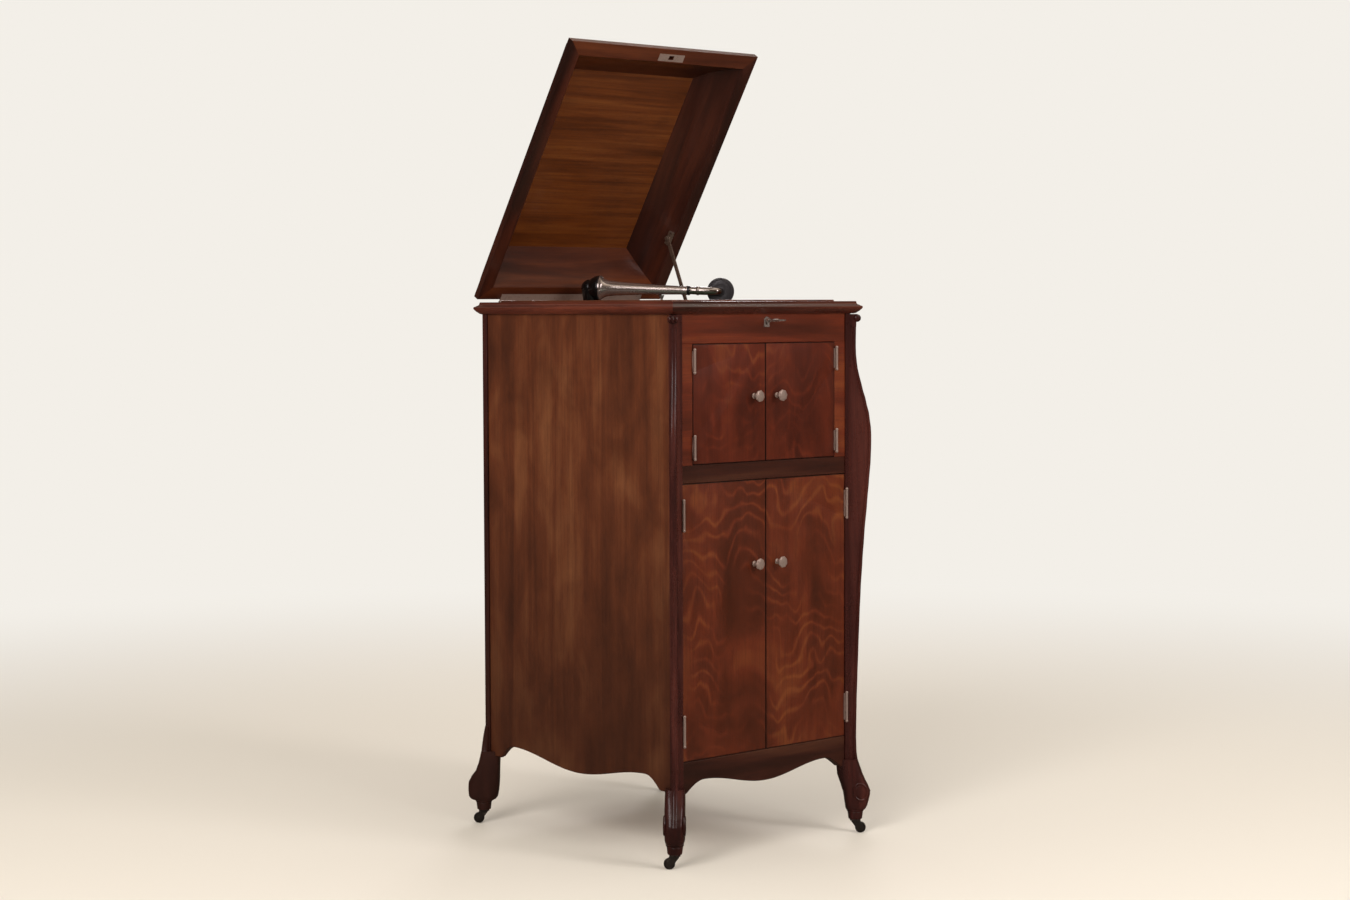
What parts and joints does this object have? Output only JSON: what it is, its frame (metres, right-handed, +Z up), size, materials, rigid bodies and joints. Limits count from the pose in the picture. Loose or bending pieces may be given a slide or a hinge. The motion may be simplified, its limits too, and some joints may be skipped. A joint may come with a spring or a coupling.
{
  "type": "gramophone cabinet",
  "caption": "Floor-standing clockwork gramophone cabinet with opening lid, four doors, turntable, tone arm and casters",
  "frame": {"origin": "On the floor under the middle of the case, between the four caster wheels", "axes": "X to the right seen from the front, Y towards the back (the doors face -Y), Z up"},
  "size_m": [0.6318, 0.6748, 1.5993],
  "materials": {
    "case_wood": "satin varnished mahogany, dark",
    "panel_wood": "satin varnished figured mahogany",
    "inner_wood": "plain stained boards",
    "nickel": "polished nickel plate",
    "felt": "wool felt",
    "black_iron": "black enamel on cast iron",
    "clock_brass": "machined brass",
    "steel": "turned steel",
    "grip_wood": "ebonised wood",
    "dark_metal": "dark lacquered metal",
    "wheel_metal": "worn dark iron"
  },
  "bodies": {
    "case": {"front_posts": "case_wood", "rear_posts": "case_wood", "side_panel_left": "panel_wood", "side_panel_right": "panel_wood", "back_panel": "inner_wood", "front_frame": "case_wood", "front_apron": "case_wood", "bottom_board": "inner_wood", "divider_board": "inner_wood", "record_shelves": "inner_wood", "top_moulding": "case_wood", "well_liners": "case_wood", "motor_board": "case_wood", "horn_boards": "inner_wood", "horn_throat": "black_iron", "tone_louvres": "inner_wood", "door_hinge_leaves": "nickel", "lid_hinge_leaf": "nickel", "lock_case": "nickel", "motor_frame": "black_iron", "arm_base": "black_iron", "fixed_fittings": "nickel", "caster_sockets": "dark_metal"},
    "lid": {"lid_frame": "case_wood", "lid_panel": "case_wood", "lid_fittings": "nickel"},
    "stay": {"stay_bar": "nickel"},
    "upper_left": {"upper_left_door": "panel_wood", "upper_left_fittings": "nickel"},
    "upper_right": {"upper_right_door": "panel_wood", "upper_right_fittings": "nickel"},
    "lower_left": {"lower_left_door": "panel_wood", "lower_left_fittings": "nickel"},
    "lower_right": {"lower_right_door": "panel_wood", "lower_right_fittings": "nickel"},
    "key_body": {"key": "nickel"},
    "bolt_body": {"lock_bolt": "nickel"},
    "turntable": {"platter": "nickel", "felt_disc": "felt", "spindle": "nickel"},
    "barrel_body": {"spring_barrel": "clock_brass"},
    "middle_body": {"middle_wheel": "clock_brass"},
    "governor_body": {"governor": "clock_brass"},
    "arbor_body": {"winding_arbor": "steel"},
    "crank_body": {"crank": "nickel"},
    "grip_body": {"crank_grip": "grip_wood"},
    "arm_body": {"arm_elbow": "black_iron", "arm_tube": "nickel"},
    "neck_body": {"gooseneck": "nickel", "sound_box": "dark_metal"},
    "brake_body": {"brake_lever": "nickel"},
    "speed_body": {"speed_knob": "nickel"},
    "front_left_swivel": {"front_left_fork": "dark_metal"},
    "front_left_roller": {"front_left_wheel": "wheel_metal"},
    "front_right_swivel": {"front_right_fork": "dark_metal"},
    "front_right_roller": {"front_right_wheel": "wheel_metal"},
    "rear_left_swivel": {"rear_left_fork": "dark_metal"},
    "rear_left_roller": {"rear_left_wheel": "wheel_metal"},
    "rear_right_swivel": {"rear_right_fork": "dark_metal"},
    "rear_right_roller": {"rear_right_wheel": "wheel_metal"}
  },
  "joints": [
    {"name": "lid_hinge", "type": "hinge", "parent": "case", "child": "lid", "pos_m": [0, 0.303, 1.0826], "axis": [1, 0, 0], "range_deg": [0, 58.36]},
    {"name": "stay_pivot", "type": "hinge", "parent": "lid", "child": "stay", "pos_m": [0.209, 0.22747, 1.21929], "axis": [1, 0, 0], "range_deg": [-37.39, 0]},
    {"name": "upper_left_hinge", "type": "hinge", "parent": "case", "child": "upper_left", "pos_m": [-0.193, -0.2973, 0.885], "axis": [0, 0, -1], "range_deg": [0, 150]},
    {"name": "upper_right_hinge", "type": "hinge", "parent": "case", "child": "upper_right", "pos_m": [0.193, -0.2973, 0.885], "axis": [0, 0, 1], "range_deg": [0, 150]},
    {"name": "lower_left_hinge", "type": "hinge", "parent": "case", "child": "lower_left", "pos_m": [-0.222, -0.2973, 0.468], "axis": [0, 0, -1], "range_deg": [0, 140]},
    {"name": "lower_right_hinge", "type": "hinge", "parent": "case", "child": "lower_right", "pos_m": [0.222, -0.2973, 0.468], "axis": [0, 0, 1], "range_deg": [0, 140]},
    {"name": "bolt_slide", "type": "slide", "parent": "case", "child": "bolt_body", "axis": [0, 0, 1], "range_m": [0, 0.009]},
    {"name": "key_turn", "type": "hinge", "parent": "case", "child": "key_body", "pos_m": [0.003, -0.291, 1.045], "axis": [0, -1, 0], "range_deg": [0, 90]},
    {"name": "platter_spin", "type": "hinge", "parent": "case", "child": "turntable", "pos_m": [0, -0.048, 1.05], "axis": [0, 0, 1], "continuous": true},
    {"name": "barrel_turn", "type": "hinge", "parent": "case", "child": "barrel_body", "pos_m": [-0.036, 0.006, 0.955], "axis": [0, 0, 1], "continuous": true},
    {"name": "middle_turn", "type": "hinge", "parent": "case", "child": "middle_body", "pos_m": [-0.036, -0.048, 0.98], "axis": [0, 0, 1], "continuous": true},
    {"name": "governor_spin", "type": "hinge", "parent": "case", "child": "governor_body", "pos_m": [0, -0.0723, 0.9574], "axis": [1, 0, 0], "continuous": true},
    {"name": "crank_turn", "type": "hinge", "parent": "case", "child": "crank_body", "pos_m": [0.274, 0.006, 1], "axis": [1, 0, 0], "continuous": true},
    {"name": "arbor_turn", "type": "hinge", "parent": "case", "child": "arbor_body", "pos_m": [-0.036, 0.006, 0.96], "axis": [0, 0, 1], "continuous": true},
    {"name": "grip_spin", "type": "hinge", "parent": "crank_body", "child": "grip_body", "pos_m": [0.3, 0.006, 0.85], "axis": [1, 0, 0], "continuous": true},
    {"name": "arm_swing", "type": "hinge", "parent": "case", "child": "arm_body", "pos_m": [-0.016, 0.222, 1.06], "axis": [0, 0, 1], "range_deg": [-28, 0]},
    {"name": "box_tilt", "type": "hinge", "parent": "arm_body", "child": "neck_body", "pos_m": [-0.016, 0.222, 1.112], "axis": [0.6015, -0.7982, -0.0314], "range_deg": [0, 85]},
    {"name": "brake_swing", "type": "hinge", "parent": "case", "child": "brake_body", "pos_m": [-0.165, -0.15, 1.04], "axis": [0, 0, 1], "range_deg": [-12, 12]},
    {"name": "speed_turn", "type": "hinge", "parent": "case", "child": "speed_body", "pos_m": [0.15, -0.215, 1.038], "axis": [0, 0, 1], "range_deg": [-60, 60]},
    {"name": "front_left_caster_swivel", "type": "hinge", "parent": "case", "child": "front_left_swivel", "pos_m": [-0.24766, -0.29666, 0.0287], "axis": [0, 0, 1], "continuous": true},
    {"name": "front_left_wheel_roll", "type": "hinge", "parent": "front_left_swivel", "child": "front_left_roller", "pos_m": [-0.25546, -0.28963, 0.011], "axis": [-0.6691, -0.7431, 0], "continuous": true},
    {"name": "front_right_caster_swivel", "type": "hinge", "parent": "case", "child": "front_right_swivel", "pos_m": [0.24766, -0.29666, 0.0287], "axis": [0, 0, 1], "continuous": true},
    {"name": "front_right_wheel_roll", "type": "hinge", "parent": "front_right_swivel", "child": "front_right_roller", "pos_m": [0.25508, -0.30408, 0.011], "axis": [0.7071, 0.7071, 0], "continuous": true},
    {"name": "rear_left_caster_swivel", "type": "hinge", "parent": "case", "child": "rear_left_swivel", "pos_m": [-0.24766, 0.29666, 0.0287], "axis": [0, 0, 1], "continuous": true},
    {"name": "rear_left_wheel_roll", "type": "hinge", "parent": "rear_left_swivel", "child": "rear_left_roller", "pos_m": [-0.25508, 0.30408, 0.011], "axis": [-0.7071, -0.7071, 0], "continuous": true},
    {"name": "rear_right_caster_swivel", "type": "hinge", "parent": "case", "child": "rear_right_swivel", "pos_m": [0.24766, 0.29666, 0.0287], "axis": [0, 0, 1], "continuous": true},
    {"name": "rear_right_wheel_roll", "type": "hinge", "parent": "rear_right_swivel", "child": "rear_right_roller", "pos_m": [0.25508, 0.30408, 0.011], "axis": [-0.7071, 0.7071, 0], "continuous": true}
  ],
  "couplings": [
    {"joint": "stay_pivot", "follows": "lid_hinge", "ratio": -0.6321},
    {"joint": "key_turn", "follows": "bolt_slide", "rad_per_m": 174.5},
    {"joint": "middle_turn", "follows": "platter_spin", "ratio": -0.2},
    {"joint": "barrel_turn", "follows": "platter_spin", "ratio": 0.04},
    {"joint": "governor_spin", "follows": "platter_spin", "ratio": 8},
    {"joint": "arbor_turn", "follows": "crank_turn", "ratio": -0.5}
  ]
}
